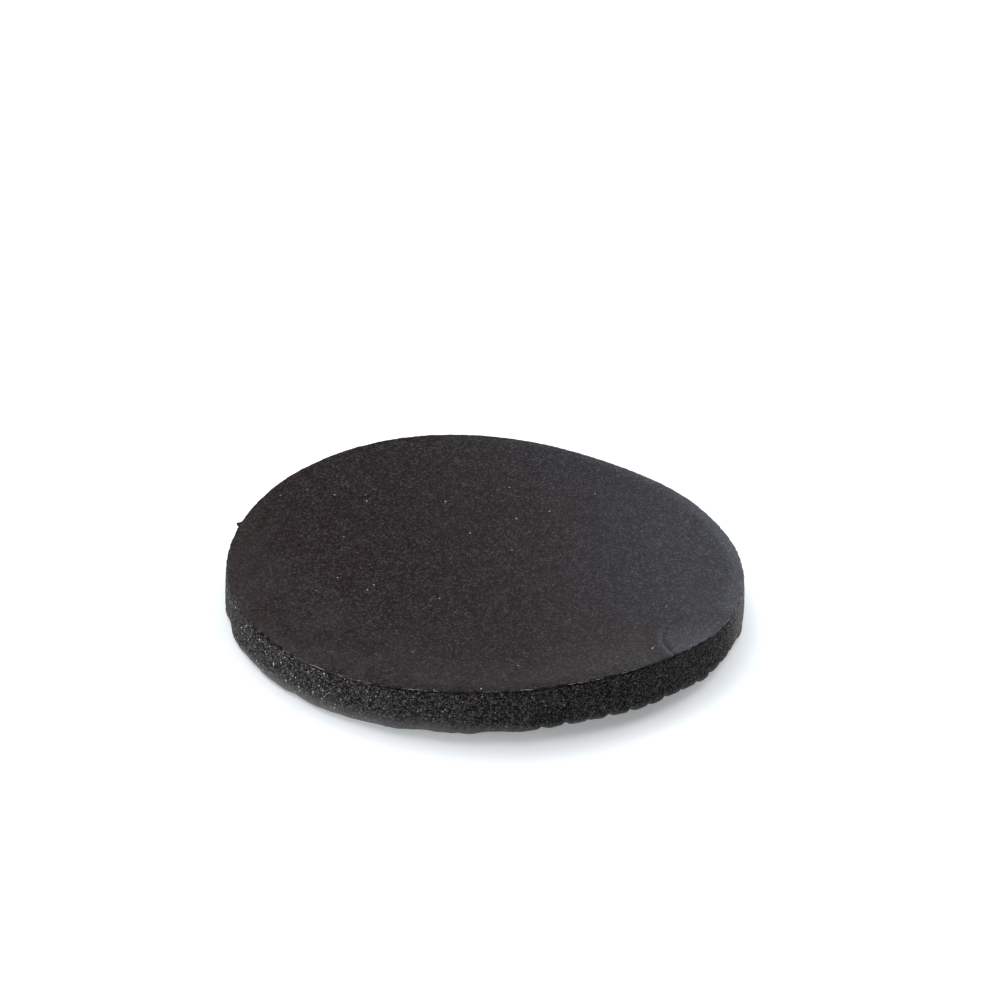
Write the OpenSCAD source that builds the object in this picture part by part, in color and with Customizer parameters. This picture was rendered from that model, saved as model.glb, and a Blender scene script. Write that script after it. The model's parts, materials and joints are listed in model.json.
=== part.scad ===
// Round self-adhesive pad of black foam rubber that goes under a piece of furniture.
// It is die-cut from a ribbed sheet that carries double-sided tape on its smooth face.
// The sheet comes off a roll, so the pad lies flat in the middle and curls up a little at both ends.
// Z = 0 is the floor, under the rib crests. The ribs run along Y and the sticky face looks up.

/* [Pad] */
// Diameter of the die-cut pad where it is widest
pad_d = 50; // [24:0.5:100]
// Thickness of the foam, from the rib crests to the taped face
foam_h = 4.5; // [2.5:0.1:12]
// How far the cut wall swells out between its lowest and its highest point
wall_bulge = 0.12; // [0.02:0.01:0.4]

/* [Curl] */
// Length of the middle stretch that lies flat, along the ribs
flat_l = 16; // [6:0.5:46]
// Radius of the curl at both ends, measured at the rib crests
curl_r = 105; // [60:5:400]

/* [Tread] */
// Distance from the middle of one rib to the middle of the next
rib_pitch = 2.1; // [1.4:0.05:4]
// Depth of the V grooves between the ribs
groove_depth = 0.4; // [0.1:0.05:0.7]
// Width of the land on which each rib stands
crest_land = 0.5; // [0.1:0.05:0.9]

/* [Tape] */
// Thickness of the adhesive coat on the foam
foam_coat_t = 0.075; // [0.03:0.005:0.2]
// Thickness of the film that carries both coats
film_t = 0.05; // [0.02:0.005:0.15]
// Thickness of the adhesive coat that grips the furniture
furniture_coat_t = 0.075; // [0.03:0.005:0.2]

/* [Hidden] */

foam_black = "#2b2a2a";
coat_black = "#3a3838";
film_grey = "#8c8c8c";

pad_r = pad_d / 2;
// Extra stock past the die's edge, so that the die cuts every rib
stock_over = rib_pitch;

// Heights of the layers of the tape, from the foam up, as the sheet lies flat
foam_coat_z = foam_h;
film_z = foam_coat_z + foam_coat_t;
furniture_coat_z = film_z + film_t;
pad_h = furniture_coat_z + furniture_coat_t;

// A rib's side is an arc from the edge of its crest land up to the bottom of the groove beside it
half_pitch = rib_pitch / 2;
half_land = crest_land / 2;
rib_axis_z = (half_pitch * half_pitch + groove_depth * groove_depth - half_land * half_land)
    / (2 * groove_depth);
rib_r = sqrt(half_land * half_land + rib_axis_z * rib_axis_z);

// The ribs run into the solid sheet at this height, where neighbouring arcs already overlap
sheet_z = min(rib_axis_z, (groove_depth + foam_h) / 2);

// One rib stands on the middle line, with as many ribs on either side as reach the rim
ribs_per_side = ceil(pad_r / rib_pitch);
stock_w = 2 * (ribs_per_side * rib_pitch + stock_over);

// Each curled end runs from the flat to the rim. The sticky face lies inside the curl, nearer its axis
curl_run = pad_r - flat_l / 2;
sticky_r = curl_r - pad_h;
curl_angle = asin((curl_run + stock_over) / sticky_r);

// The wall is an arc through the lowest rim, the widest point at half height and the highest rim
highest_z = curl_r - sqrt(sticky_r * sticky_r - curl_run * curl_run);
half_h = highest_z / 2;
rim_r = pad_r - wall_bulge;
wall_r = (half_h * half_h + wall_bulge * wall_bulge) / (2 * wall_bulge);

$fn = 128;
// Steps in a full turn of the curl, which is a short stretch of a wide circle
curl_fn = 720;

// Cross-section of the embossed foam sheet, with the ribs standing on the floor line
module foam_section() {
    intersection() {
        union() {
            translate([-stock_w / 2, sheet_z]) square([stock_w, foam_h - sheet_z]);
            for (n = [-ribs_per_side : ribs_per_side])
                translate([n * rib_pitch, rib_axis_z]) circle(r = rib_r);
        }
        translate([-stock_w / 2, 0]) square([stock_w, foam_h]);
    }
}

// Cross-section of one layer of the tape
module tape_section(z, t) {
    translate([-stock_w / 2, z]) square([stock_w, t]);
}

// Sheet of a given cross-section: flat in the middle, then bent up along the ribs towards both ends
module curled_sheet() {
    union() {
        rotate([90, 0, 0]) linear_extrude(height = flat_l, center = true) children();
        for (side = [0, 180])
            rotate([0, 0, side])
                translate([0, flat_l / 2, curl_r])
                    rotate([0, 90, 0])
                        rotate_extrude(angle = curl_angle, $fn = curl_fn)
                            translate([curl_r, 0]) rotate(90) children();
    }
}

// Round blank that the die cuts, with its swelling wall
module die_cut_blank() {
    rotate_extrude()
        union() {
            translate([0, -stock_over]) square([rim_r, highest_z + 2 * stock_over]);
            intersection() {
                square([pad_r, highest_z]);
                translate([pad_r - wall_r, half_h]) circle(r = wall_r);
            }
        }
}

// One layer of the pad: the die cuts all layers in one stroke
module die_cut() {
    intersection() {
        die_cut_blank();
        curled_sheet() children();
    }
}

module foam_disc() {
    color(foam_black) die_cut() foam_section();
}

module foam_side_adhesive() {
    color(coat_black) die_cut() tape_section(foam_coat_z, foam_coat_t);
}

module carrier_film() {
    color(film_grey) die_cut() tape_section(film_z, film_t);
}

module furniture_side_adhesive() {
    color(coat_black) die_cut() tape_section(furniture_coat_z, furniture_coat_t);
}

foam_disc();
foam_side_adhesive();
carrier_film();
furniture_side_adhesive();
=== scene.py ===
# %% [markdown]
# A stick-on pad of black foam rubber
#
# The real object is a sandwich that one stroke of a die cuts from a sheet: a disc of foam with an
# anti-slip tread embossed in its underside, and double-sided tape on its upper face. This lesson
# dresses the four solids of that sandwich. The solids are exact and spotless, and foam is neither:
# it is full of cells, its cut wall is rough, its edges waver, and dust clings to it. So every layer
# is made again here as a surface worked out with numpy, on the place and size that the solids give.

# %% Load the solids
import json
import math

import bpy
import numpy as np
from mathutils import Matrix, Vector


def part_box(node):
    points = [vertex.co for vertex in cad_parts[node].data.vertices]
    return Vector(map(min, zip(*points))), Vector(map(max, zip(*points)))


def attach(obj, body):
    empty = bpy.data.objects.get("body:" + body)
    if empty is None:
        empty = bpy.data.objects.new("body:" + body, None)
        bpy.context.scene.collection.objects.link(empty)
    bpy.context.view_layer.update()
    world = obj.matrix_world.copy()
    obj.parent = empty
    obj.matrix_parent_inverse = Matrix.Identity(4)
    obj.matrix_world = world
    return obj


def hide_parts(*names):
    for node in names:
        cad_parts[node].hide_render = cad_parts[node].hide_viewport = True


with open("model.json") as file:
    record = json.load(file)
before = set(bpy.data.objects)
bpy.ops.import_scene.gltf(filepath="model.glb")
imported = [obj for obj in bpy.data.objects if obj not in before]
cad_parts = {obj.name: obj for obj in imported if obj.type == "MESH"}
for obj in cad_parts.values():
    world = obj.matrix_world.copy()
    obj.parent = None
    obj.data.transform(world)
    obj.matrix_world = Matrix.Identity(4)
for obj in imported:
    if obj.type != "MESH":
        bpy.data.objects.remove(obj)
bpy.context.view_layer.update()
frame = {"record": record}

MM = 0.001
foam_low, foam_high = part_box("foam_disc")
pad_r = (foam_high.x - foam_low.x) / 2
mount_z = {mount["name"]: mount["pos_m"][2] for mount in frame["record"]["mounts"]}
foam_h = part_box("foam_side_adhesive")[0].z
film_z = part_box("carrier_film")[0].z
top_coat_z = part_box("furniture_side_adhesive")[0].z
sticky_z = mount_z["sticky_face"]
print(f"pad {2 * pad_r / MM:.1f} mm wide, foam {foam_h / MM:.2f} mm, with tape {sticky_z / MM:.2f} mm")

# %% [markdown]
# The view
#
# The camera stands where the photograph was taken from: a long lens about a third of a metre away,
# some 30 degrees above the table. The numbers come from fitting the pad's rim in the picture, whose
# side is 1001 pixels. The lens length follows from the fitted focal length in pixels. The pad sits
# low and a little left in the frame, and turning the camera does that without any lens shift, so
# that views from other sides stay centred.

# %% Camera
PICTURE_PX = 1001
SENSOR_MM = 36.0
FOCAL_PX = 3631.0
CAMERA_AWAY = 350 * MM
CAMERA_TURN = math.radians(-35.0)
CAMERA_RISE = math.radians(29.9)
CAMERA_ROLL = math.radians(1.16)
CLIP_START = 3.5 * MM
PAD_CENTRE_PX = (484.4, 607.3)


def camera_axes(turn, tilt):
    """Columns are the right, up and backward directions of a camera that faces the origin."""
    level, height = math.cos(tilt), math.sin(tilt)
    back = Vector((math.sin(turn) * level, -math.cos(turn) * level, height))
    right = Vector((math.cos(turn), math.sin(turn), 0))
    return Matrix((right, back.cross(right), back)).transposed()


camera_data = bpy.data.cameras.new("camera")
camera_data.sensor_width = SENSOR_MM
camera_data.lens = FOCAL_PX * SENSOR_MM / PICTURE_PX
camera_data.clip_start = CLIP_START
camera = bpy.data.objects.new("camera", camera_data)
bpy.context.scene.collection.objects.link(camera)
bpy.context.scene.camera = camera
axes = camera_axes(CAMERA_TURN, CAMERA_RISE)
yaw, pitch = (math.atan((centre - PICTURE_PX / 2) / FOCAL_PX) for centre in PAD_CENTRE_PX)
aim = Matrix.Rotation(CAMERA_ROLL, 3, "Z") @ Matrix.Rotation(pitch, 3, "X")
aim = aim @ Matrix.Rotation(yaw, 3, "Y")
camera.matrix_world = Matrix.Translation(axes.col[2] * CAMERA_AWAY) @ (axes @ aim).to_4x4()
print(f"lens {camera_data.lens:.1f} mm, camera {CAMERA_AWAY / MM:.0f} mm away")

# %% [markdown]
# Shapes that every layer shares
#
# The die cuts all layers at once, so they share one outline, and they bend together, so they share
# one curl. The outline is a circle that the soft sheet let slip: slightly longer one way, with a
# faint waviness. The curl is left over from the roll that the sheet came off: the pad lies flat in
# the middle, and its ends bend up round a wide circle. The pad was not cut quite square to the roll,
# so the curl runs a little askew to the ribs. Each shape is a function of whole numpy arrays, so a
# surface is computed in one go.

# %% Outline and curl
COLUMNS = 1440
OVAL = 0.26 * MM
OVAL_TURN = math.radians(84.0)
FIRST_WAVE, WAVES = 3, 9
WAVE_SEED = 11
WAVE_HEIGHT = 0.035 * MM
FLAT_HALF = 8.0 * MM
CURL_RADIUS = 105.0 * MM
CURL_TURN = math.radians(79.0)

angle = 2 * math.pi * np.arange(COLUMNS) / COLUMNS


def rim_radius(phi):
    """Radius of the die cut: the circle, plus a cosine of two lobes, plus small sines of more lobes."""
    draw = np.random.default_rng(WAVE_SEED)
    lobes = np.arange(FIRST_WAVE, FIRST_WAVE + WAVES)
    start = draw.uniform(0, 2 * math.pi, WAVES)
    wave = np.sin(phi[..., None] * lobes + start).sum(-1)
    return pad_r + OVAL * np.cos(2 * (phi - OVAL_TURN)) + WAVE_HEIGHT * wave / math.sqrt(WAVES)


def bent(x, y, z):
    """Height of a point of the flat sheet after the bend: as it was in the middle, then on a circle."""
    along = x * math.cos(CURL_TURN) + y * math.sin(CURL_TURN)
    run = np.maximum(np.abs(along) - FLAT_HALF, 0)
    return CURL_RADIUS - np.sqrt((CURL_RADIUS - z) ** 2 - run**2)


print(f"rim radius {rim_radius(angle).min() / MM:.2f} to {rim_radius(angle).max() / MM:.2f} mm")

# %% [markdown]
# Rolled rim and dent
#
# On the upper side the die rolled the rim down a little all round, and more so at the end on the
# right of the view. A thumb has pressed a shallow round dent into it. Both could be sculpted, but as
# a formula they sink the foam and every layer of the tape by the same amount, so the layers stay
# face to face.

# %% Rolled rim and dent
RIGHT_TURN = CAMERA_TURN
ROLL_DROP = 0.12 * MM
ROLL_WIDTH = 1.8 * MM
END_ROLL = 1.5
END_ROLL_FROM = 0.8
THUMB_X, THUMB_Y = 10.6 * MM, -25.3 * MM
THUMB_RADIUS = 6.65 * MM
THUMB_DEPTH = 0.26 * MM
THUMB_POWER = 1.5


def rise(value, low, high):
    """A straight step from 0 at low to 1 at high, level on both sides."""
    return np.clip((value - low) / (high - low), 0, 1)


def drop(x, y):
    """How far the upper side sinks: by a square law near the rim, plus a bowl in the dent."""
    phi = np.arctan2(y, x)
    inward = rim_radius(phi) - np.hypot(x, y)
    at_end = rise(np.cos(phi - RIGHT_TURN), END_ROLL_FROM, 1)
    roll = ROLL_DROP * (1 + END_ROLL * at_end) * np.clip(1 - inward / ROLL_WIDTH, 0, 1) ** 2
    from_thumb = np.hypot(x - THUMB_X, y - THUMB_Y) / THUMB_RADIUS
    return roll + THUMB_DEPTH * np.clip(1 - from_thumb**2, 0, 1) ** THUMB_POWER


print(f"rim rolled down by {ROLL_DROP / MM:.2f} to {ROLL_DROP * (1 + END_ROLL) / MM:.2f} mm")

# %% [markdown]
# A disc ruled by chords
#
# A disc is often meshed as rings round a centre, but the tread's ribs run straight across it, and
# rings would cut them into stair steps. Here each flat face is ruled by chords that run along the
# ribs, from one rim point to the point opposite. The chords lie a tenth of a millimetre apart and
# follow every groove exactly. Rows along the chords are packed closer towards the rim, where the
# surface bends most. The chords end on the columns of the wall, so the skin is closed.

# %% Ruled face
def half_cosine(phase):
    """A soft step from 0 to 1 as the phase goes from 0 to pi: half of one less its cosine."""
    return (1 - np.cos(phase)) / 2


def ruled_face(wall_ring, first_free, rows, height):
    """One face of a disc as (points, quads, triangles), seen from below.

    Chord i joins column i of the rim to its mirror column. A point on it is the straight mix of the
    two ends by a share from 0 to 1, lifted to height(x, y). The first and last chords are single rim
    points, so the strips beside them are triangles.
    """
    ids, ends = wall_ring
    columns = len(ids)
    chord = np.arange(columns // 2 + 1)
    mirror = (columns - chord) % columns
    share = half_cosine(np.linspace(0, math.pi, rows + 1))[None, :, None]
    mix = ends[mirror][:, None] * (1 - share) + ends[chord][:, None] * share
    inner = mix[1:-1, 1:-1].copy()
    inner[..., 2] = height(inner[..., 0], inner[..., 1])
    grid = np.empty((len(chord), rows + 1), int)
    grid[:, 0], grid[:, -1] = ids[mirror], ids[chord]
    grid[0, 1:-1], grid[-1, 1:-1] = ids[0], ids[columns // 2]
    grid[1:-1, 1:-1] = first_free + np.arange(inner[..., 0].size).reshape(inner.shape[:2])
    body = grid[1:-1]
    quads = np.stack([body[:-1, :-1], body[1:, :-1], body[1:, 1:], body[:-1, 1:]], -1)
    first = np.stack([grid[0, :-1], grid[1, :-1], grid[1, 1:]], -1)
    last = np.stack([grid[-2, :-1], grid[-1, :-1], grid[-2, 1:]], -1)
    return inner.reshape(-1, 3), quads.reshape(-1, 4), np.concatenate([first, last])


print(f"{COLUMNS // 2 - 1} chords rule each face")

# %% Closed disc
SHARP_EDGE = math.radians(60.0)


def closed_disc(name, wall, lower, upper, lower_rows, upper_rows):
    """A closed layer; its wall is an array (levels, columns, 3) of rings, lowest ring first."""
    levels, columns = wall.shape[:2]
    ring = np.arange(levels * columns).reshape(levels, columns)
    after = np.roll(ring, -1, axis=1)
    sides = np.stack([ring[:-1], after[:-1], after[1:], ring[1:]], -1).reshape(-1, 4)
    below = ruled_face((ring[0], wall[0]), ring.size, lower_rows, lower)
    above = ruled_face((ring[-1], wall[-1]), ring.size + len(below[0]), upper_rows, upper)
    points = np.concatenate([wall.reshape(-1, 3), below[0], above[0]])
    quads = np.concatenate([sides, below[1], above[1][:, ::-1]])
    triangles = np.concatenate([below[2], above[2][:, ::-1]])
    mesh = bpy.data.meshes.new(name)
    mesh.from_pydata(points, [], quads.tolist() + triangles.tolist())
    mesh.shade_smooth()
    mesh.set_sharp_from_angle(angle=SHARP_EDGE)
    layer = bpy.data.objects.new(name, mesh)
    bpy.context.scene.collection.objects.link(layer)
    print(f"{name}: {len(points)} points, {2 * len(quads) + len(triangles)} triangles")
    return layer


print(f"edges sharper than {math.degrees(SHARP_EDGE):.0f} degrees stay sharp")

# %% [markdown]
# Cells of the foam
#
# The die slices through gas cells about a quarter of a millimetre wide, and each leaves a small cup
# in the wall. A cell pattern puts one random point in every square of a grid, and the distance to
# the nearest point says how deep the cup is. The grid wraps round the pad, so the wall has no seam.

# %% Cell pattern
SPARE_LEVELS = 4
CUP_LEAST, CUP_MORE = 0.35, 0.4


def nearest_cell(u, v, cells_round, seed):
    """Distance to the nearest cell point, and that cell's random number; u wraps after cells_round."""
    draw = np.random.default_rng(seed)
    levels = int(v.max()) + SPARE_LEVELS
    place = draw.random((cells_round, levels, 2))
    chance = draw.random((cells_round, levels))
    column, level = np.floor(u).astype(int), np.floor(v).astype(int)
    nearest = np.full(u.shape, np.inf)
    own = np.zeros(u.shape)
    for step_u in (-1, 0, 1):
        for step_v in (-1, 0, 1):
            key = ((column + step_u) % cells_round, level + step_v + 1)
            away_u = column + step_u + place[key][..., 0] - u
            away_v = level + step_v + place[key][..., 1] - v
            away = np.hypot(away_u, away_v)
            own = np.where(away < nearest, chance[key], own)
            nearest = np.minimum(nearest, away)
    return nearest, own


def cups(along, up, cell, seed):
    """Depth of the cut cells, from 0 to 1: a paraboloid round each cell point, deeper in some cells."""
    cells_round = round(2 * math.pi * pad_r / cell)
    nearest, own = nearest_cell(along * cells_round, up / cell, cells_round, seed)
    reach = CUP_LEAST + CUP_MORE * own
    return own * np.clip(1 - (nearest / reach) ** 2, 0, 1)


print(f"cups reach over {CUP_LEAST:.2f} to {CUP_LEAST + CUP_MORE:.2f} of a cell")

# %% [markdown]
# The tread
#
# The tread is a row of straight ribs with round flanks and V grooves between them. The roller that
# embossed it was worn, most of all on one side, so some grooves are shallower than others. The ribs
# all run along Y, so one profile across them is enough, and no rib has to be modelled by itself.

# %% Tread
RIB_PITCH = 2.1 * MM
GROOVE_DEPTH = 0.4 * MM
CREST_LAND = 0.5 * MM
GROOVE_SEED = 28065
GROOVE_LEAST = 0.55
GROOVES_A_SIDE = 16
WORN_LEAST = 0.35
WORN_FROM, WORN_TO = -11.5 * MM, -7.5 * MM


def tread_height(x):
    """Height over the floor line: flat under a rib's crest, then an arc up to the groove beside it."""
    across = np.abs((x / RIB_PITCH + 0.5) % 1 - 0.5) * RIB_PITCH
    axis_z = ((RIB_PITCH / 2) ** 2 + GROOVE_DEPTH**2 - (CREST_LAND / 2) ** 2) / (2 * GROOVE_DEPTH)
    flank_r = math.hypot(CREST_LAND / 2, axis_z)
    arc = np.maximum(axis_z - np.sqrt(flank_r**2 - across**2), 0)
    depth = np.random.default_rng(GROOVE_SEED).random(2 * GROOVES_A_SIDE)
    depth = GROOVE_LEAST + (1 - GROOVE_LEAST) * depth
    worn = WORN_LEAST + (1 - WORN_LEAST) * rise(x, WORN_FROM, WORN_TO)
    return arc * worn * depth[np.floor(x / RIB_PITCH).astype(int) + GROOVES_A_SIDE]


deepest = tread_height(pad_r * np.cos(angle)).max()
print(f"ribs every {RIB_PITCH / MM:.1f} mm, deepest groove {deepest / MM:.2f} mm")

# %% [markdown]
# Edges of the wall
#
# The die drew the tread's skin down over the lower edge, so that edge is rounded and closed. The
# pale band there is partly that skin and partly painted bounce light from the table, and it is twice
# as wide on one side, where the table is brightest. At both ends across the view the die also
# smeared some of the cells shut. Noise that runs round the rim without a seam varies such things
# from column to column: one random value at each knot, and soft steps between the knots.

# %% Edges of the wall
# The band's height and its wider side are partly painted bounce light.
SKIN_AND_BOUNCE_BAND = 1.0 * MM
BOUNCE_WIDER = 1.1
BOUNCE_TURN = math.radians(205.0)
BOUNCE_FROM, BOUNCE_TO = 0.75, 0.95
LEFT_SKIN, RIGHT_SKIN = 0.1, 0.45
END_FROM, END_TO = 0.905, 0.985


def round_noise(knots, seed):
    """Noise from 0 to 1, one value a column: random knots joined by cosine steps, closed round the rim.
    """
    table = np.random.default_rng(seed).random(knots)
    place = angle / (2 * math.pi) * knots
    before = np.floor(place).astype(int)
    share = half_cosine(math.pi * (place - before))
    return table[before] * (1 - share) + table[(before + 1) % knots] * share


def quarter_round(away, size):
    """How far a rounded edge draws in at a distance from it: from a square corner to its arc."""
    return size * (1 - np.sqrt(1 - np.clip(1 - away / size, 0, 1) ** 2))


def skin_and_bounce_band():
    """Height of the band of skin and painted bounce light on the lower edge, wider on one side."""
    return SKIN_AND_BOUNCE_BAND * (1 + BOUNCE_WIDER * rise(np.cos(angle - BOUNCE_TURN), BOUNCE_FROM, BOUNCE_TO))


def smeared_ends():
    """How far the cells are smeared shut, one value a column: at the two ends across the view."""
    across = np.cos(angle - RIGHT_TURN)
    near = rise(np.abs(across), END_FROM, END_TO)
    return near * np.where(across > 0, RIGHT_SKIN, LEFT_SKIN)


print(f"skin {skin_and_bounce_band().min() / MM:.1f} to {skin_and_bounce_band().max() / MM:.1f} mm high")

# %% [markdown]
# The cut wall
#
# The wall runs from the tread's own edge up to the tape, swells a little between them, and draws in
# under the tape. Where the grooves leave the pad they notch the lower edge and tuck it in, which
# gives the pad its scalloped look. The soft edge also wavers in and out, and the die nibbled it.
# Two sizes of cups stand for the cut cells, and they fade out towards both edges.

# %% Foam wall
WALL_LEVELS = 42
CROWDED = 0.35
WALL_BULGE = 0.12 * MM
LOW_ROUND = 0.45 * MM
HIGH_ROUND = 0.25 * MM
NIBBLE = 0.18 * MM
NIBBLE_KNOTS = 110
NIBBLE_SEED = 4
SCALLOP = 0.14 * MM
WAVER = 0.34 * MM
WAVER_KNOTS = 62
WAVER_SEED = 6
BIG_CELL, BIG_CUP, BIG_SEED = 0.42 * MM, 0.08 * MM, 3
SMALL_CELL, SMALL_CUP, SMALL_SEED = 0.24 * MM, 0.07 * MM, 7


def cell_dents(above_low, below_high):
    """Depth of the cups at each wall point: two sizes added, fading to none at skin, tape and smears."""
    turn = np.broadcast_to(angle / (2 * math.pi), above_low.shape)
    dents = BIG_CUP * cups(turn, above_low, BIG_CELL, BIG_SEED)
    dents = dents + SMALL_CUP * cups(turn, above_low, SMALL_CELL, SMALL_SEED)
    dents = dents * np.clip(above_low / skin_and_bounce_band(), 0, 1) * np.clip(below_high / HIGH_ROUND, 0, 1)
    return dents * (1 - smeared_ends())


def foam_wall():
    """Rings from the lower edge to the tape, and each point's height above and below those edges.

    The radius is the outline plus a swelling that is a parabola of the height, less the rounding of
    both edges, less the cups, less a tuck that dies away upwards by a square law.
    """
    crowded = half_cosine(np.linspace(0, math.pi, WALL_LEVELS + 1))
    even = np.linspace(0, 1, WALL_LEVELS + 1)
    share = (CROWDED * crowded + (1 - CROWDED) * even)[:, None]
    rim = rim_radius(angle)[None] - WALL_BULGE
    notch = tread_height((rim - LOW_ROUND) * np.cos(angle))
    low = np.maximum(notch, NIBBLE * round_noise(NIBBLE_KNOTS, NIBBLE_SEED))
    high = foam_h - drop(rim * np.cos(angle), rim * np.sin(angle))
    above_low = (high - low) * share
    below_high = (high - low) * (1 - share)
    swell = WALL_BULGE * 4 * share * (1 - share)
    waver = WAVER * (round_noise(WAVER_KNOTS, WAVER_SEED) - 0.5)
    tuck = SCALLOP * notch / GROOVE_DEPTH + waver
    rounding = quarter_round(above_low, LOW_ROUND), quarter_round(below_high, HIGH_ROUND)
    radius = rim + swell - rounding[0] - rounding[1]
    radius = radius - cell_dents(above_low, below_high) - tuck * (1 - share) ** 2
    x, y = radius * np.cos(angle), radius * np.sin(angle)
    return np.stack([x, y, bent(x, y, low + above_low)], -1), above_low, below_high


wall_points, wall_above_low, wall_below_high = foam_wall()
print(f"wall {wall_above_low[-1].min() / MM:.2f} to {wall_above_low[-1].max() / MM:.2f} mm high")

# %% [markdown]
# The foam disc
#
# The wall, the tread and the taped face close to one piece. Two values are stored with its points
# for the finish: how far a point is closed skin, and how far it lies in the painted shade under the
# tape, a dark band broken into stretches by noise. Painting such masks by hand would do as well, but
# here they come from the same distances as the shape.

# %% Foam disc
FACE_ROWS = 24
# The dark band at the top of the wall, under the tape's edge, is painted shade.
SEAM_SHADE_BAND = 0.22 * MM
SEAM_SHADE_KNOTS = 90
SEAM_SHADE_SEED = 12


def tread_surface(x, y):
    """The tread's ribs, bent with the sheet."""
    return bent(x, y, tread_height(x))


def foam_top(x, y):
    """The taped face, lowered at the rim and in the dent, and bent with the sheet."""
    return bent(x, y, foam_h - drop(x, y))


def store(layer, name, values):
    """Keep one value for each point of a layer, under a name that its material can read."""
    layer.data.attributes.new(name, "FLOAT", "POINT").data.foreach_set("value", values)


def mark_skin(layer, above_low, below_high):
    """Store painted shade under the tape, and skin: the whole tread, the wall's lower edge and ends."""
    skin = np.ones(len(layer.data.vertices))
    band = np.clip(1 - above_low / skin_and_bounce_band(), 0, 1) ** 2
    skin[: above_low.size] = np.maximum(band, smeared_ends()).ravel()
    seam_shade = np.zeros(len(layer.data.vertices))
    broken = round_noise(SEAM_SHADE_KNOTS, SEAM_SHADE_SEED)
    seam_shade[: below_high.size] = (broken * np.clip(1 - below_high / SEAM_SHADE_BAND, 0, 1)).ravel()
    store(layer, "skin", skin)
    store(layer, "seam_shade", seam_shade)


foam = closed_disc("foam_pad", wall_points, tread_surface, foam_top, FACE_ROWS, FACE_ROWS)
mark_skin(foam, wall_above_low, wall_below_high)
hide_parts("foam_disc")
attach(foam, "root")

# %% [markdown]
# The edge of the tape
#
# Three thin layers lie on the foam: an adhesive coat, the film that carries both coats, and the coat
# that does the sticking. The die cut them a hair inside the foam's rim and left their edge frayed,
# more so at the front, and with one burr. A random edge that is joined by straight steps looks torn,
# where a smooth one would look moulded.

# %% Edge of the tape
TAPE_BACK = 0.03 * MM
FRAY = 0.05 * MM
FRAY_KNOTS = 480
FRAY_SEED = 5
FRONT_TURN = math.radians(-125.0)
FRONT_FRAY = 0.8
BURR_LENGTH = 0.45 * MM
BURR_TURN = math.radians(129.0)
BURR_WIDTH = 0.009


def tape_rim():
    """Radius of the tape's edge: the foam's upper rim, plus a random fray, plus a bell for the burr."""
    knots = np.random.default_rng(FRAY_SEED).uniform(-1, 1, FRAY_KNOTS)
    place = angle / (2 * math.pi) * FRAY_KNOTS
    before = np.floor(place).astype(int)
    fray = knots[before] + (place - before) * (knots[(before + 1) % FRAY_KNOTS] - knots[before])
    fray = fray * (1 + FRONT_FRAY * np.clip(np.cos(angle - FRONT_TURN), 0, 1))
    burr = BURR_LENGTH * np.exp(-(((angle - BURR_TURN) / BURR_WIDTH) ** 2))
    return rim_radius(angle) - WALL_BULGE - TAPE_BACK + FRAY * fray + burr


print(f"tape radius {tape_rim().min() / MM:.2f} to {tape_rim().max() / MM:.2f} mm")

# %% [markdown]
# Ripples and crease
#
# The top coat is what is seen from above. It lies in faint waves, and round one side of the dent runs
# a fine crease, with a low ridge of coat pushed up outside it. A bump in the material could fake
# them, but real heights also show at a low view and in the mesh itself.

# %% Ripples and crease
RIPPLE = 0.006 * MM
RIPPLE_SIZE = 3.2 * MM
RIPPLE_SEED, FINE_RIPPLE_SEED = 21, 22
FINE_RIPPLE = 0.5
SPARE_CELLS = 8
CREASE_DEPTH = 0.035 * MM
CREASE_WIDTH = 0.14 * MM
CREASE_TURN = math.radians(135.0)
CREASE_FROM, CREASE_TO = 0.5, 0.85
RIDGE_HEIGHT = 0.035 * MM
RIDGE_WIDTH = 0.7 * MM


def soft_noise(x, y, size, seed):
    """Smooth noise from -1 to 1: random heights on a square grid, joined by cosine steps."""
    draw = np.random.default_rng(seed)
    cells = int(2 * pad_r / size) + SPARE_CELLS
    table = draw.uniform(-1, 1, (cells, cells))
    u, v = x / size + cells / 2, y / size + cells / 2
    column, level = np.floor(u).astype(int), np.floor(v).astype(int)
    share_u, share_v = half_cosine(math.pi * (u - column)), half_cosine(math.pi * (v - level))
    low = table[column, level] * (1 - share_u) + table[column + 1, level] * share_u
    high = table[column, level + 1] * (1 - share_u) + table[column + 1, level + 1] * share_u
    return low * (1 - share_v) + high * share_v


def crease(x, y):
    """Shares of crease and of ridge, from 0 to 1: bells across the dent's edge and just outside it.

    Both fade to nothing on the side that looks away from the crease's own direction.
    """
    away_x, away_y = x - THUMB_X, y - THUMB_Y
    from_edge = np.hypot(away_x, away_y) - THUMB_RADIUS
    facing = (away_x * math.cos(CREASE_TURN) + away_y * math.sin(CREASE_TURN)) / THUMB_RADIUS
    fade = rise(facing, CREASE_FROM, CREASE_TO)
    line = fade * np.exp(-((from_edge / CREASE_WIDTH) ** 2))
    ridge = fade * np.exp(-(((from_edge - RIDGE_WIDTH) / RIDGE_WIDTH) ** 2))
    return line, ridge


def coat_relief(x, y):
    """Two sizes of smooth waves, less the crease, plus the ridge outside it."""
    fine = FINE_RIPPLE * soft_noise(x, y, RIPPLE_SIZE / 2, FINE_RIPPLE_SEED)
    waves = RIPPLE * (soft_noise(x, y, RIPPLE_SIZE, RIPPLE_SEED) + fine)
    line, ridge = crease(x, y)
    return waves + RIDGE_HEIGHT * ridge - CREASE_DEPTH * line


def no_relief(x, y):
    """A face that lies close against the next layer."""
    return np.zeros_like(x)


print(f"crease {CREASE_DEPTH / MM:.3f} mm deep, ridge {RIDGE_HEIGHT / MM:.3f} mm high")
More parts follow.
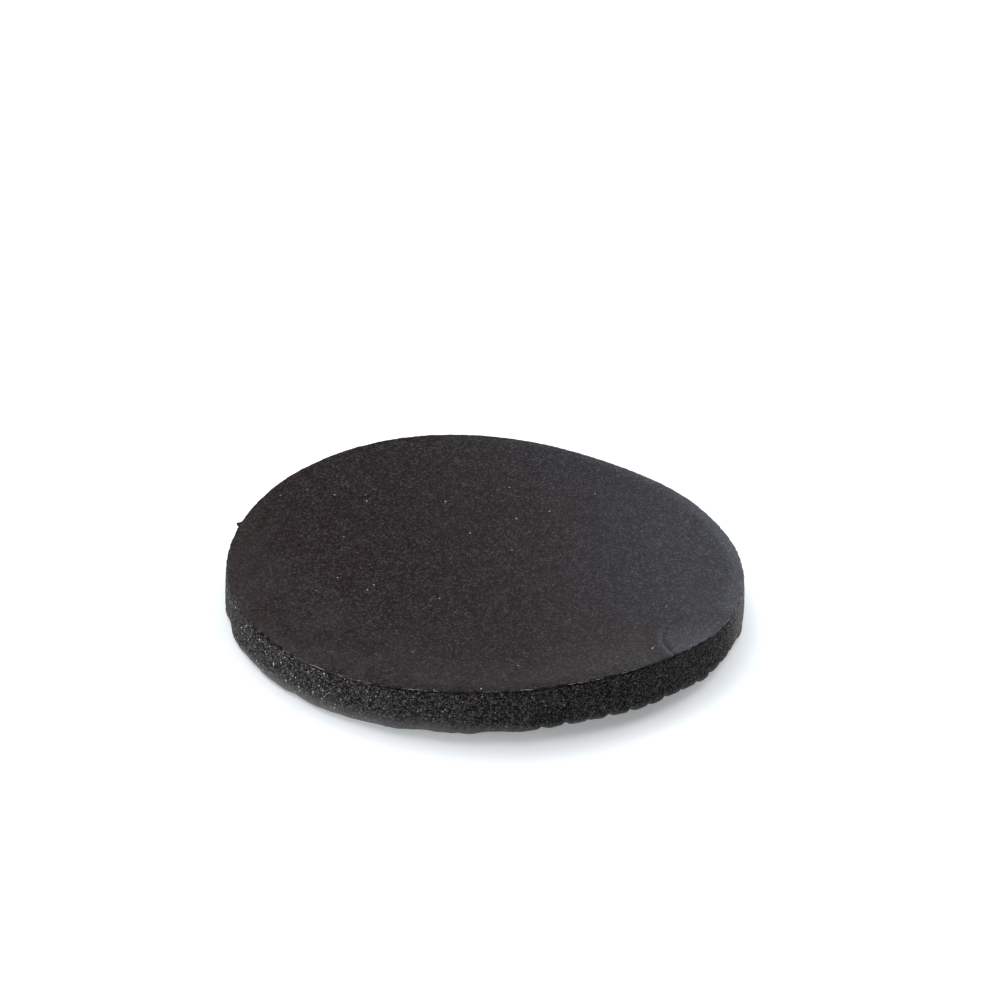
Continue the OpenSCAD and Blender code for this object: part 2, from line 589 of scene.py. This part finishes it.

# %% [markdown]
# The layers of the tape
#
# All three layers are closed discs with the same edge and the same bend, each on top of the next.
# Only the top coat needs many rows, for its ripples. Along most of its cut edge, and in its crease,
# a coat is dull instead of satin and painted dark as painted shade, and how far gets stored with its
# points.

# %% Layers of the tape
COAT_ROWS = 100
# The crease and most of the cut edge are rougher and painted dark as painted shade.
CREASE_DULL_SHADE = 0.6
EDGE_KNOTS = 260
EDGE_SEED = 9
EDGE_FROM, EDGE_TO = 0.3, 0.5


def tape_layer(name, node, low, high, rows, relief):
    """One layer between two heights of the flat sheet; relief is added to its upper face."""

    def under(x, y):
        return bent(x, y, low - drop(x, y))

    def over(x, y):
        return bent(x, y, high - drop(x, y) + relief(x, y))

    edge_x, edge_y = tape_rim() * np.cos(angle), tape_rim() * np.sin(angle)
    wall = [np.stack([edge_x, edge_y, face(edge_x, edge_y)], -1) for face in (under, over)]
    layer = closed_disc(name, np.stack(wall), under, over, FACE_ROWS, rows)
    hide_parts(node)
    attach(layer, "root")
    return layer


def mark_dull_shade(layer):
    """Store dullness and painted shade, from 0 to 1: in the crease, and along most of the cut edge."""
    points = np.empty(3 * len(layer.data.vertices))
    layer.data.vertices.foreach_get("co", points)
    dull_shade = CREASE_DULL_SHADE * crease(points[0::3], points[1::3])[0]
    edge_dull_shade = rise(round_noise(EDGE_KNOTS, EDGE_SEED), EDGE_FROM, EDGE_TO)
    dull_shade[: 2 * COLUMNS] = np.tile(edge_dull_shade, 2)
    store(layer, "dull_shade", dull_shade)


foam_coat = tape_layer("foam_coat", "foam_side_adhesive", foam_h, film_z, FACE_ROWS, no_relief)
carrier = tape_layer("carrier_sheet", "carrier_film", film_z, top_coat_z, FACE_ROWS, no_relief)
top_coat = tape_layer(
    "top_coat", "furniture_side_adhesive", top_coat_z, sticky_z, COAT_ROWS, coat_relief
)
mark_dull_shade(foam_coat)
mark_dull_shade(top_coat)

# %% [markdown]
# Finishes
#
# A finish is a Principled shader that is fed by patterns. The patterns are nodes, and these helpers
# make and link the few kinds that are needed, so that a finish reads like a recipe. Patterns are
# measured in millimetres on Object coordinates.

# %% Node helpers
COLOUR_A, COLOUR_B, COLOUR_OUT = 6, 7, 2


def set_inputs(node, **values):
    """Set fixed inputs by socket name, with spaces written as underscores."""
    for socket, value in values.items():
        node.inputs[socket.replace("_", " ")].default_value = value


def add_node(tree, kind, **values):
    """A new node with the given fixed inputs."""
    node = tree.nodes.new(kind)
    set_inputs(node, **values)
    return node


def feed(tree, socket, value):
    """Link a socket to another one, or give it a fixed value."""
    if isinstance(value, bpy.types.NodeSocket):
        tree.links.new(value, socket)
    else:
        socket.default_value = value


def math_node(tree, operation, first, second):
    """The result of a Math node on two values or sockets."""
    node = tree.nodes.new("ShaderNodeMath")
    node.operation = operation
    feed(tree, node.inputs[0], first)
    feed(tree, node.inputs[1], second)
    return node.outputs[0]


def mix_value(tree, mask, first, second):
    """A value that goes from first to second as the mask goes from 0 to 1."""
    return math_node(tree, "ADD", math_node(tree, "MULTIPLY", mask, second - first), first)


def mix_colour(tree, mask, first, second):
    """A colour that goes from first to second by a mask; each is a colour or a colour socket."""
    node = tree.nodes.new("ShaderNodeMix")
    node.data_type = "RGBA"
    tree.links.new(mask, node.inputs["Factor"])
    for socket, value in ((COLOUR_A, first), (COLOUR_B, second)):
        feed(tree, node.inputs[socket], (*value, 1) if isinstance(value, tuple) else value)
    return node.outputs[COLOUR_OUT]


print("node helpers ready")


# %% Pattern helpers
def ramp(tree, value, low, high):
    """A smooth step from 0 at low to 1 at high."""
    node = add_node(tree, "ShaderNodeMapRange", From_Min=low, From_Max=high)
    node.interpolation_type = "SMOOTHSTEP"
    tree.links.new(value, node.inputs["Value"])
    return node.outputs["Result"]


def toward(tree, place, turn):
    """How far a place lies in a level direction, which is given by its angle from the X axis."""
    node = tree.nodes.new("ShaderNodeVectorMath")
    node.operation = "DOT_PRODUCT"
    tree.links.new(place, node.inputs[0])
    node.inputs[1].default_value = (math.cos(turn), math.sin(turn), 0)
    return node.outputs["Value"]


def noise(tree, place, scale, detail, roughness):
    """Soft noise from 0 to 1, with a scale in swells to the millimetre."""
    node = add_node(tree, "ShaderNodeTexNoise", Detail=detail, Roughness=roughness)
    tree.links.new(place, node.inputs["Vector"])
    feed(tree, node.inputs["Scale"], scale)
    return node.outputs["Fac"]


def random_cells(tree, place, scale):
    """Voronoi cells: the distance from a cell's middle, and two random numbers for each cell."""
    cells = add_node(tree, "ShaderNodeTexVoronoi", Randomness=1.0)
    tree.links.new(place, cells.inputs["Vector"])
    feed(tree, cells.inputs["Scale"], scale)
    split = tree.nodes.new("ShaderNodeSeparateColor")
    tree.links.new(cells.outputs["Color"], split.inputs["Color"])
    return cells.outputs["Distance"], split.outputs["Red"], split.outputs["Green"]


def dots(tree, place, scale, least, size):
    """A mask of sparse round dots, in the cells whose random number is above least."""
    distance, _, chance = random_cells(tree, place, scale)
    dot = ramp(tree, distance, size, size / 2)
    return math_node(tree, "MULTIPLY", dot, ramp(tree, chance, least, (1 + least) / 2))


print("pattern helpers ready")

# %% [markdown]
# Patterns that finishes share
#
# Effects that several finishes share are node groups, built once: cut cells for the foam, and a fine
# grain with streaks drawn out along the sheet's running direction. A group gives only masks and
# heights, and each material keeps its own shader.

# %% Cut cells
CELL_WALL = (0.1, 0.55)
CELL_FLOOR_TONE = 0.5
CELL_TONE_POWER = 2.5
FLECK_SCALE, FLECK_LEAST, FLECK_SIZE = 0.8, 0.965, 0.55


def new_group(name, scale_name, scale, outputs):
    """A shader node group with a place and a scale to read: (group, place, scale, end node)."""
    group = bpy.data.node_groups.new(name, "ShaderNodeTree")
    group.interface.new_socket("Vector", in_out="INPUT", socket_type="NodeSocketVector")
    made = group.interface.new_socket(scale_name, in_out="INPUT", socket_type="NodeSocketFloat")
    made.default_value = scale
    for socket in outputs:
        group.interface.new_socket(socket, in_out="OUTPUT", socket_type="NodeSocketFloat")
    start, end = group.nodes.new("NodeGroupInput"), group.nodes.new("NodeGroupOutput")
    return group, start.outputs["Vector"], start.outputs[scale_name], end


def cut_cells_group():
    """Sliced foam: the height of the cell walls, a tone for each cell, and sparse flecks."""
    group, place, scale, end = new_group(
        "cut_cells", "Cells per mm", 4.0, ("Height", "Tone", "Fleck")
    )
    distance, chance, _ = random_cells(group, place, scale)
    wall = ramp(group, distance, *CELL_WALL)
    own = math_node(group, "POWER", chance, CELL_TONE_POWER)
    tone = math_node(group, "MULTIPLY", mix_value(group, wall, CELL_FLOOR_TONE, 1.0), own)
    coarser = math_node(group, "MULTIPLY", scale, FLECK_SCALE)
    fleck = dots(group, place, coarser, FLECK_LEAST, FLECK_SIZE)
    for socket, value in (("Height", wall), ("Tone", tone), ("Fleck", fleck)):
        group.links.new(value, end.inputs[socket])
    return group


cut_cells = cut_cells_group()
print("group:", cut_cells.name)

# %% Sheet grain
GRAIN_POWER = 4.0
SWELL_DETAIL, SWELL_ROUGH = 2.0, 0.7
DRAWN_OUT = (1.0, 0.16, 1.0)
STREAK_DETAIL, STREAK_ROUGH = 1.0, 0.5
STREAK_STEP = (0.6, 0.8)
SPECK_SCALE, SPECK_LEAST, SPECK_SIZE = 0.25, 0.985, 0.2


def sheet_grain_group():
    """Fine grains of uneven tone, short streaks drawn out along the ribs, and a few specks of dust."""
    group, place, scale, end = new_group(
        "sheet_grain", "Grains per mm", 6.0, ("Height", "Tone", "Streak", "Speck")
    )
    _, chance, _ = random_cells(group, place, scale)
    tone = math_node(group, "POWER", chance, GRAIN_POWER)
    swell = noise(group, place, scale, SWELL_DETAIL, SWELL_ROUGH)
    drawn = add_node(group, "ShaderNodeMapping", Scale=DRAWN_OUT)
    group.links.new(place, drawn.inputs["Vector"])
    streak = noise(group, drawn.outputs["Vector"], scale, STREAK_DETAIL, STREAK_ROUGH)
    streak = ramp(group, streak, *STREAK_STEP)
    coarser = math_node(group, "MULTIPLY", scale, SPECK_SCALE)
    speck = dots(group, place, coarser, SPECK_LEAST, SPECK_SIZE)
    results = {"Height": swell, "Tone": tone, "Streak": streak, "Speck": speck}
    for socket, value in results.items():
        group.links.new(value, end.inputs[socket])
    return group


sheet_grain = sheet_grain_group()
print("group:", sheet_grain.name)


# %% Material helpers
def new_material(name):
    """A Principled material: (material, tree, shader, place in millimetres on Object coordinates)."""
    material = bpy.data.materials.new(name)
    material.use_nodes = True
    tree = material.node_tree
    shader = tree.nodes["Principled BSDF"]
    coordinates = tree.nodes.new("ShaderNodeTexCoord")
    place = add_node(tree, "ShaderNodeMapping", Scale=(1 / MM, 1 / MM, 1 / MM))
    tree.links.new(coordinates.outputs["Object"], place.inputs["Vector"])
    return material, tree, shader, place.outputs["Vector"]


def use_group(tree, group, place, scale):
    """A group in a material, fed with the place and its one scale."""
    node = tree.nodes.new("ShaderNodeGroup")
    node.node_tree = group
    tree.links.new(place, node.inputs["Vector"])
    node.inputs[1].default_value = scale
    return node


def stored(tree, name):
    """A value that was stored with the points of the mesh."""
    node = tree.nodes.new("ShaderNodeAttribute")
    node.attribute_name = name
    return node.outputs["Fac"]


def add_bump(tree, shader, height, depth, under=None):
    """A bump of a given depth in metres on the shader's Normal, over an earlier one if there is one."""
    bump = add_node(tree, "ShaderNodeBump", Distance=depth)
    tree.links.new(height, bump.inputs["Height"])
    if under is not None:
        tree.links.new(under, bump.inputs["Normal"])
    tree.links.new(bump.outputs["Normal"], shader.inputs["Normal"])
    return bump.outputs["Normal"]


print("material helpers ready")

# %% [markdown]
# Foam rubber
#
# Carbon black makes the rubber nearly black. Each cut cell has its own tone and a paler wall, and
# here and there a smooth bit of cell wall catches the light as a bright fleck: the coat gives it a
# real glint, and its pale colour is a painted glint. The side of the pad that the left lamp lights
# is painted paler, with more and brighter painted flecks: painted light. The tip of the opposite end
# is paler too. The tread was pressed against a hot roller and has a closed, plain skin; its grey is
# partly painted bounce light from the table. The stored skin and seam shade tell closed skin, the
# painted shade under the tape and open cells apart.

# %% Foam rubber
FOAM_CELLS, FOAM_GRAINS = 8.5, 9.0
FOAM_DARK = (0.002, 0.0019, 0.0019)
FOAM_PALE = (0.104, 0.101, 0.1)
# Painted light: the paler colours on the side that the left lamp lights, and at the far tip.
FOAM_PALER = (0.138, 0.132, 0.129)
# The fleck's pale colour is a painted glint; the coat on the flecks adds a real glint.
FOAM_FLECK_GLINT = (0.85, 0.83, 0.81)
# Skin grey, partly painted bounce light from the table.
SKIN_AND_BOUNCE_TONE = (0.115, 0.114, 0.113)
SKIN_PALER = (0.17, 0.167, 0.166)
# Where the painted light falls, and the paler tip; flecks are fewer away from that side.
LIT_SIDE_TURN = math.radians(145.0)
LIT_SIDE_FROM, LIT_SIDE_TO = 0.0, 22.0
PALER_TIP_FROM, PALER_TIP_TO = 21.8, 24.3
FAR_SIDE_FLECKS = 0.25
FOAM_SHINE = 0.08
OPEN_ROUGH, SKIN_ROUGH, FLECK_ROUGH = 0.85, 0.5, 0.2
GRAIN_BUMP, CELL_BUMP = 0.03 * MM, 0.06 * MM


def paler_side_and_tip(tree, place):
    """Painted light on the side that the left lamp lights, and a paler tip at the opposite end."""
    side = ramp(tree, toward(tree, place, LIT_SIDE_TURN), LIT_SIDE_FROM, LIT_SIDE_TO)
    tip = ramp(tree, toward(tree, place, LIT_SIDE_TURN + math.pi), PALER_TIP_FROM, PALER_TIP_TO)
    return math_node(tree, "MAXIMUM", side, tip)


def foam_material():
    """Cell tones and flecks of painted glint, giving way to skin and to painted shade under the tape."""
    material, tree, shader, place = new_material("foam_rubber")
    cells = use_group(tree, cut_cells, place, FOAM_CELLS).outputs
    grain = use_group(tree, sheet_grain, place, FOAM_GRAINS).outputs
    skin, seam_shade = stored(tree, "skin"), stored(tree, "seam_shade")
    open_cells = math_node(tree, "SUBTRACT", 1.0, math_node(tree, "MAXIMUM", skin, seam_shade))
    # Painted light: paler towards the side that the left lamp lights, and at the opposite tip.
    paler = paler_side_and_tip(tree, place)
    fleck = math_node(tree, "MULTIPLY", cells["Fleck"], open_cells)
    # More and brighter painted glints on the side of painted light.
    fleck = math_node(tree, "MULTIPLY", fleck, mix_value(tree, paler, FAR_SIDE_FLECKS, 1.0))
    pale = mix_colour(tree, paler, FOAM_PALE, FOAM_PALER)
    tone = mix_colour(tree, cells["Tone"], FOAM_DARK, pale)
    # Skin tone: partly painted bounce light; paler still on the lit side, as painted light.
    tone = mix_colour(tree, skin, tone, mix_colour(tree, paler, SKIN_AND_BOUNCE_TONE, SKIN_PALER))
    # Painted shade under the tape.
    tone = mix_colour(tree, seam_shade, tone, FOAM_DARK)
    # Painted glint: the pale fleck colour, over the coat's real glint.
    tree.links.new(mix_colour(tree, fleck, tone, FOAM_FLECK_GLINT), shader.inputs["Base Color"])
    tree.links.new(mix_value(tree, skin, OPEN_ROUGH, SKIN_ROUGH), shader.inputs["Roughness"])
    tree.links.new(fleck, shader.inputs["Coat Weight"])
    set_inputs(shader, Specular_IOR_Level=FOAM_SHINE, Coat_Roughness=FLECK_ROUGH)
    fine = add_bump(tree, shader, grain["Height"], GRAIN_BUMP)
    rough_cells = math_node(tree, "MULTIPLY", cells["Height"], open_cells)
    add_bump(tree, shader, rough_cells, CELL_BUMP, fine)
    return material


foam.data.materials.append(foam_material())
print("foam rubber on", foam.name)

# %% [markdown]
# Adhesive
#
# The adhesive coats are clear, so the black foam shows through and they look like dark satin with a
# fine grain, tinted warm as painted bounce light. The peeled liner left faint streaks along the
# sheet. Dust left a few specks. Soft patches on one side make the coat a little paler there: painted
# light.

# %% Adhesive
COAT_GRAINS = 8.0
# The warm tint of these colours is painted bounce light.
COAT_DARK = (0.0055, 0.0003, 0.0003)
COAT_PALE = (0.076, 0.0705, 0.071)
COAT_PAINTED_LIGHT = (0.026, 0.0195, 0.02)
COAT_STREAK = (0.06, 0.058, 0.058)
COAT_SPECK = (0.6, 0.6, 0.6)
COAT_LIT_TURN = math.radians(180.0)
COAT_LIT_FROM, COAT_LIT_TO = 6.0, 24.0
COAT_PATCHES = {"scale": 0.3, "low": 0.3, "high": 0.7}
PATCH_DETAIL, PATCH_ROUGH = 4.0, 0.8
STREAK_SHARE = 0.2
COAT_SHINE = 0.2
SATIN_ROUGH, DULL_ROUGH = 0.3, 0.8
COAT_BUMP = 0.015 * MM


def patches(tree, place, scale, low, high):
    """A mask of soft patches: noise of a given scale, stepped from low to high."""
    return ramp(tree, noise(tree, place, scale, PATCH_DETAIL, PATCH_ROUGH), low, high)


def coat_material():
    """Black satin with grain, streaks and specks; its warm tint and pale patches are painted light."""
    material, tree, shader, place = new_material("adhesive_coat")
    grain = use_group(tree, sheet_grain, place, COAT_GRAINS).outputs
    dull_shade = stored(tree, "dull_shade")
    # Painted light: paler in soft patches towards one side.
    paler = ramp(tree, toward(tree, place, COAT_LIT_TURN), COAT_LIT_FROM, COAT_LIT_TO)
    paler = math_node(tree, "MULTIPLY", paler, patches(tree, place, **COAT_PATCHES))
    tone = mix_colour(tree, paler, COAT_DARK, COAT_PAINTED_LIGHT)
    tone = mix_colour(tree, grain["Tone"], tone, COAT_PALE)
    faint = math_node(tree, "MULTIPLY", grain["Streak"], STREAK_SHARE)
    tone = mix_colour(tree, faint, tone, COAT_STREAK)
    tone = mix_colour(tree, grain["Speck"], tone, COAT_SPECK)
    # Painted shade: dull places turn dark, in the crease and along the cut edge.
    tree.links.new(mix_colour(tree, dull_shade, tone, COAT_DARK), shader.inputs["Base Color"])
    tree.links.new(mix_value(tree, dull_shade, SATIN_ROUGH, DULL_ROUGH), shader.inputs["Roughness"])
    set_inputs(shader, Specular_IOR_Level=COAT_SHINE)
    add_bump(tree, shader, grain["Height"], COAT_BUMP)
    return material


coat = coat_material()
for layer in (foam_coat, top_coat):
    layer.data.materials.append(coat)
print("adhesive on", foam_coat.name, "and", top_coat.name)

# %% [markdown]
# Film
#
# The film between the coats is seen only at the cut edge. It is clear, so it looks dark, and at the
# front it is coloured as a broken thin pale line.

# %% Film
FILM_DARK = (0.008, 0.008, 0.008)
FILM_PALE = (0.4, 0.4, 0.4)
FILM_SHINE = 0.1
FILM_ROUGH = 0.6
FILM_PATCHES = {"scale": 0.7, "low": 0.49, "high": 0.62}
FRONT_FROM, FRONT_TO = 16.0, 22.0


def film_material():
    """Clear plastic, pale in patches along its cut edge at the front."""
    material, tree, shader, place = new_material("carrier_film")
    front = ramp(tree, toward(tree, place, FRONT_TURN), FRONT_FROM, FRONT_TO)
    pale = math_node(tree, "MULTIPLY", patches(tree, place, **FILM_PATCHES), front)
    tree.links.new(mix_colour(tree, pale, FILM_DARK, FILM_PALE), shader.inputs["Base Color"])
    set_inputs(shader, Roughness=FILM_ROUGH, Specular_IOR_Level=FILM_SHINE)
    return material


carrier.data.materials.append(film_material())
print("film on", carrier.name)

# %% [markdown]
# Table
#
# The pad lies on a table of cool white. The table shows white to the camera and to reflections by a
# little light of its own, which grows far away from the pad, and near the pad it still takes the
# pad's shadow. More lamp light would whiten it too, but would bleach the pad. From below the table is
# clear, so that the tread can be looked at.

# %% Table
TABLE_SIDE = 4.0
TABLE_WHITE = (0.87, 0.9, 0.925, 1)
LIFT_WHITE = (0.94, 0.98, 1.0, 1)
TABLE_LIFT = 0.27
FAR_LIFT = 1.0
FAR_FROM, FAR_TO = 0.25, 0.9


def table_lift(tree):
    """Strength of the table's own light: none for light rays, else growing with the distance."""
    coordinates = tree.nodes.new("ShaderNodeTexCoord")
    away = tree.nodes.new("ShaderNodeVectorMath")
    away.operation = "LENGTH"
    tree.links.new(coordinates.outputs["Object"], away.inputs[0])
    far = ramp(tree, away.outputs["Value"], FAR_FROM, FAR_TO)
    path = tree.nodes.new("ShaderNodeLightPath").outputs
    seen = math_node(tree, "MAXIMUM", path["Is Camera Ray"], path["Is Glossy Ray"])
    seen = math_node(tree, "MAXIMUM", seen, path["Is Transmission Ray"])
    return math_node(tree, "MULTIPLY", seen, mix_value(tree, far, TABLE_LIFT, FAR_LIFT))


def table_material():
    """White and matt plus its own light, and clear from below."""
    material = bpy.data.materials.new("table")
    material.use_nodes = True
    tree = material.node_tree
    tree.nodes.clear()
    matt = add_node(tree, "ShaderNodeBsdfDiffuse", Color=TABLE_WHITE)
    lift = add_node(tree, "ShaderNodeEmission", Color=LIFT_WHITE)
    tree.links.new(table_lift(tree), lift.inputs["Strength"])
    both = tree.nodes.new("ShaderNodeAddShader")
    clear = tree.nodes.new("ShaderNodeBsdfTransparent")
    side = tree.nodes.new("ShaderNodeNewGeometry")
    pick = tree.nodes.new("ShaderNodeMixShader")
    output = tree.nodes.new("ShaderNodeOutputMaterial")
    tree.links.new(matt.outputs["BSDF"], both.inputs[0])
    tree.links.new(lift.outputs["Emission"], both.inputs[1])
    tree.links.new(side.outputs["Backfacing"], pick.inputs[0])
    tree.links.new(both.outputs["Shader"], pick.inputs[1])
    tree.links.new(clear.outputs["BSDF"], pick.inputs[2])
    tree.links.new(pick.outputs["Shader"], output.inputs["Surface"])
    return material


half_side = TABLE_SIDE / 2
signs = ((-1, -1), (1, -1), (1, 1), (-1, 1))
table_mesh = bpy.data.meshes.new("table")
table_mesh.from_pydata([(half_side * x, half_side * y, 0) for x, y in signs], [], [(0, 1, 2, 3)])
table_mesh.materials.append(table_material())
table = bpy.data.objects.new("table", table_mesh)
bpy.context.scene.collection.objects.link(table)
print("table", TABLE_SIDE, "m")

# %% [markdown]
# Lamps
#
# The light is that of a soft studio. The big key lamp hangs high behind the pad and to the left, so
# a short shadow falls to the front and right. Two low lamps rake the rough wall from the left and
# from behind on the right. A bluish card close behind on the right brightens the coat on that side.
# Places are given as right, away and up in the picture, so that they are easy to move about.

# %% Lamps
LAMPS = {
    "key": {"place": (-0.35, 0.4, 0.95), "side": 0.7, "watts": 4.0},
    "left": {"place": (-0.76, -0.37, 0.13), "side": 0.5, "watts": 7.2},
    "right": {"place": (0.57, 0.57, 0.1), "side": 0.5, "watts": 7.5},
    "card": {
        "place": (0.098, 0.2, 0.12),
        "side": 0.16,
        "watts": 0.105,
        "colour": (0.7, 0.85, 1.0),
    },
}


def from_picture(x, y, z):
    """A place given as right, away and up in the picture, turned into the pad's own frame."""
    return Matrix.Rotation(CAMERA_TURN, 3, "Z") @ Vector((x, y, z))


def softbox(name, place, side, watts, colour=(1, 1, 1)):
    """A square lamp that faces the pad, and that the camera doesn't see."""
    data = bpy.data.lights.new(name, "AREA")
    data.size = side
    data.energy = watts
    data.color = colour
    lamp = bpy.data.objects.new(name, data)
    lamp.location = from_picture(*place)
    lamp.rotation_euler = lamp.location.to_track_quat("Z", "Y").to_euler()
    lamp.visible_camera = False
    bpy.context.scene.collection.objects.link(lamp)


for lamp_name, lamp_values in LAMPS.items():
    softbox(lamp_name, **lamp_values)
print("lamps:", ", ".join(LAMPS))

# %% [markdown]
# Sky
#
# The studio's sky is white at the horizon, dark above it, a little paler again half way up, black
# higher still, and bright overhead. The satin coat mirrors it: where the curl tips the coat towards
# the horizon it looks paler. A colour ramp on the height of the view direction gives such bands
# without any picture.

# %% Sky
SKY_STOPS = {
    0.09: (1.0, 1.0, 1.0),
    0.15: (0.3, 0.29, 0.29),
    0.28: (0.07, 0.066, 0.066),
    0.42: (0.13, 0.119, 0.119),
    0.52: (0.18, 0.163, 0.163),
    0.6: (0.04, 0.033, 0.033),
    0.8: (0.0, 0.0, 0.0),
    0.9: (1.6, 1.6, 1.6),
}
ANY_STOP = 0.5


def sky():
    """A world whose colour depends on the height of the view direction, through the stops above."""
    world = bpy.data.worlds.new("studio")
    world.use_nodes = True
    tree = world.node_tree
    coordinates = tree.nodes.new("ShaderNodeTexCoord")
    split = tree.nodes.new("ShaderNodeSeparateXYZ")
    tree.links.new(coordinates.outputs["Generated"], split.inputs["Vector"])
    shades = tree.nodes.new("ShaderNodeValToRGB")
    elements = shades.color_ramp.elements
    while len(elements) < len(SKY_STOPS):
        elements.new(ANY_STOP)
    for element, (place, colour) in zip(elements, SKY_STOPS.items()):
        element.position = place
        element.color = (*colour, 1)
    tree.links.new(split.outputs["Z"], shades.inputs["Fac"])
    tree.links.new(shades.outputs["Color"], tree.nodes["Background"].inputs["Color"])
    return world


bpy.context.scene.world = sky()
bpy.context.scene.view_settings.view_transform = "Standard"
print("sky with", len(SKY_STOPS), "stops")
